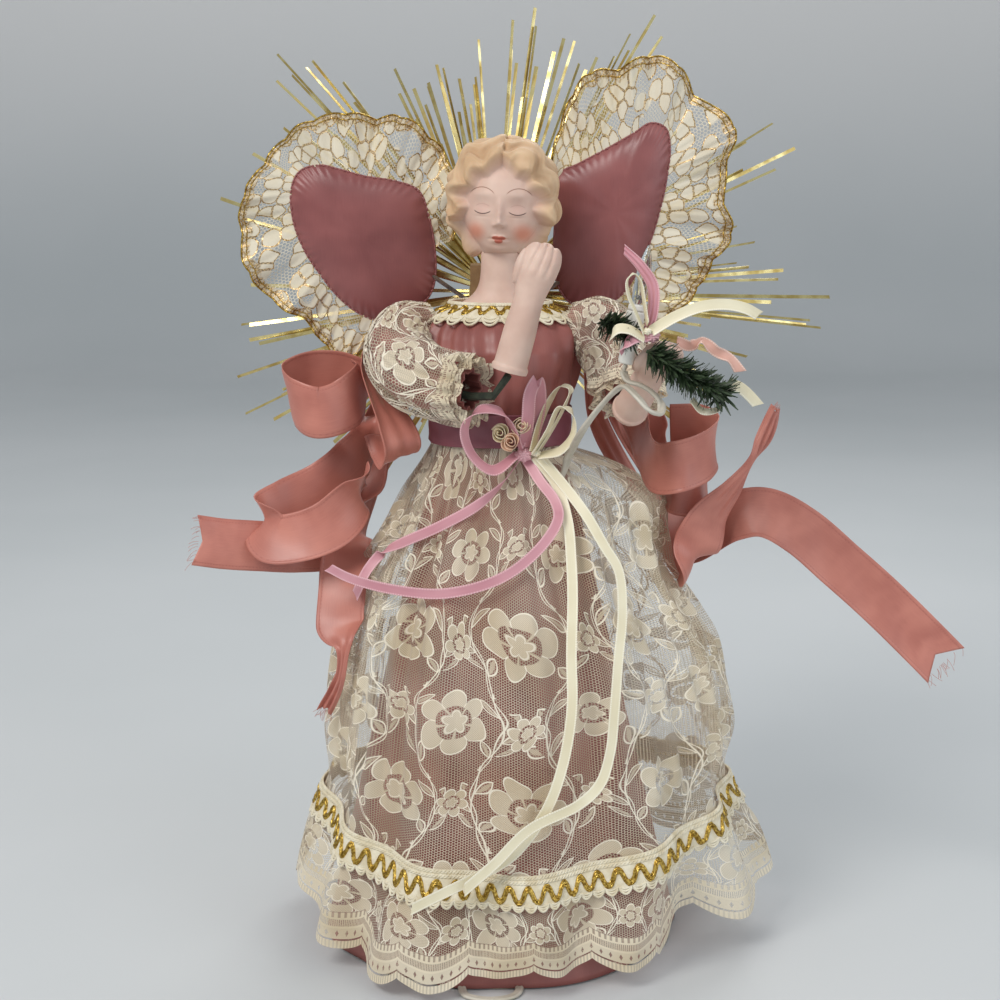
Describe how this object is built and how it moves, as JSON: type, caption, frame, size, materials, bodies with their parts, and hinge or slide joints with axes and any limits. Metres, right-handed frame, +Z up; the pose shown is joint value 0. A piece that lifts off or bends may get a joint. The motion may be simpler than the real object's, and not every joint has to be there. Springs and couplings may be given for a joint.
{
  "type": "angel tree topper",
  "caption": "Lighted angel tree topper: porcelain doll on a card cone with satin and lace skirt, bending arms and wings, gold tinsel rays and a bouquet with a lamp.",
  "frame": {"origin": "centre of the cone's foot, on the surface that it stands on, where the tree's tip enters", "axes": "+Z up the cone to the head, -Y the way that the figure faces, +X the figure's left side"},
  "size_m": [0.3802, 0.2887, 0.464],
  "materials": {
    "card": "matt",
    "satin": "satin sheen",
    "lace": "matt",
    "gold_braid": "metallic thread",
    "mauve_ribbon": "satin sheen",
    "rose_ribbon": "satin sheen",
    "pink_ribbon": "satin sheen",
    "cream_ribbon": "satin sheen",
    "porcelain": "unglazed, painted",
    "taped_wire": "matt tape",
    "wood": "bare",
    "tinsel": "metallised",
    "steel_wire": "bare",
    "greenery": "matt",
    "peach_ribbon": "satin sheen",
    "white_plastic": "gloss",
    "bulb_glass": "clear",
    "lead": "satin"
  },
  "bodies": {
    "figure": {"cone_core": "card", "satin_underskirt": "satin", "lace_overskirt": "lace", "hem_ruffle": "lace", "hem_braid": "gold_braid", "porcelain_bust": "porcelain", "bodice": "satin", "waist_belt": "mauve_ribbon", "neck_braid": "gold_braid", "arm_wire": "taped_wire", "right_sleeve_satin": "satin", "right_sleeve_lace": "lace", "left_sleeve_satin": "satin", "left_sleeve_lace": "lace", "wing_anchor": "wood", "tinsel_spray": "tinsel", "bow_pink_loops": "pink_ribbon", "bow_cream_loops": "cream_ribbon", "rosebud_1": "cream_ribbon", "rosebud_2": "cream_ribbon", "rosebud_3": "cream_ribbon", "pink_tail_left": "pink_ribbon", "cream_tail_long": "cream_ribbon", "cream_tail_wide": "cream_ribbon", "pink_tail_across": "pink_ribbon", "right_streamer_knot": "rose_ribbon", "right_streamer_front": "rose_ribbon", "right_streamer_upper": "rose_ribbon", "right_streamer_lower": "rose_ribbon", "right_streamer_side_tail": "rose_ribbon", "right_streamer_down_tail": "rose_ribbon", "left_streamer_knot": "rose_ribbon", "left_streamer_cup": "rose_ribbon", "left_streamer_fold": "rose_ribbon", "left_streamer_up_tail": "rose_ribbon", "left_streamer_long_tail": "rose_ribbon", "lamp_lead": "lead", "inner_lead": "lead", "cord_run": "lead", "cord_coil": "lead", "plug_body": "white_plastic"},
    "right_wing": {"right_wing_pad": "satin", "right_wing_wire": "steel_wire", "right_wing_lace": "lace"},
    "left_wing": {"left_wing_pad": "satin", "left_wing_wire": "steel_wire", "left_wing_lace": "lace"},
    "right_forearm": {"right_forearm": "porcelain", "right_forearm_wire": "taped_wire"},
    "left_forearm": {"left_forearm": "porcelain", "left_forearm_wire": "taped_wire", "bouquet_pink_bow": "pink_ribbon", "bouquet_cream_bow": "cream_ribbon", "sprig_main": "greenery", "sprig_small": "greenery", "bouquet_rosette": "peach_ribbon", "bouquet_cream_end": "cream_ribbon", "lamp_holder": "white_plastic"},
    "lamp": {"lamp_base": "white_plastic", "lamp_glass": "bulb_glass"}
  },
  "joints": [
    {"name": "right_elbow_bend", "type": "hinge", "parent": "figure", "child": "right_forearm", "pos_m": [0.004, -0.06, 0.292], "axis": [1, 0, 0], "range_deg": [-8, 45]},
    {"name": "left_elbow_bend", "type": "hinge", "parent": "figure", "child": "left_forearm", "pos_m": [0.0608, -0.046, 0.272], "axis": [1, 0, 0], "range_deg": [-20, 15], "deforming": ["lamp_lead"]},
    {"name": "right_wing_bend", "type": "hinge", "parent": "figure", "child": "right_wing", "pos_m": [-0.0171, 0.037, 0.318], "axis": [0, 0, 1], "range_deg": [-8, 15]},
    {"name": "left_wing_bend", "type": "hinge", "parent": "figure", "child": "left_wing", "pos_m": [0.0171, 0.037, 0.318], "axis": [0, 0, 1], "range_deg": [-15, 8]},
    {"name": "lamp_pull", "type": "slide", "parent": "left_forearm", "child": "lamp", "axis": [0.182, 0, 0.9833], "range_m": [0, 0.015]}
  ]
}
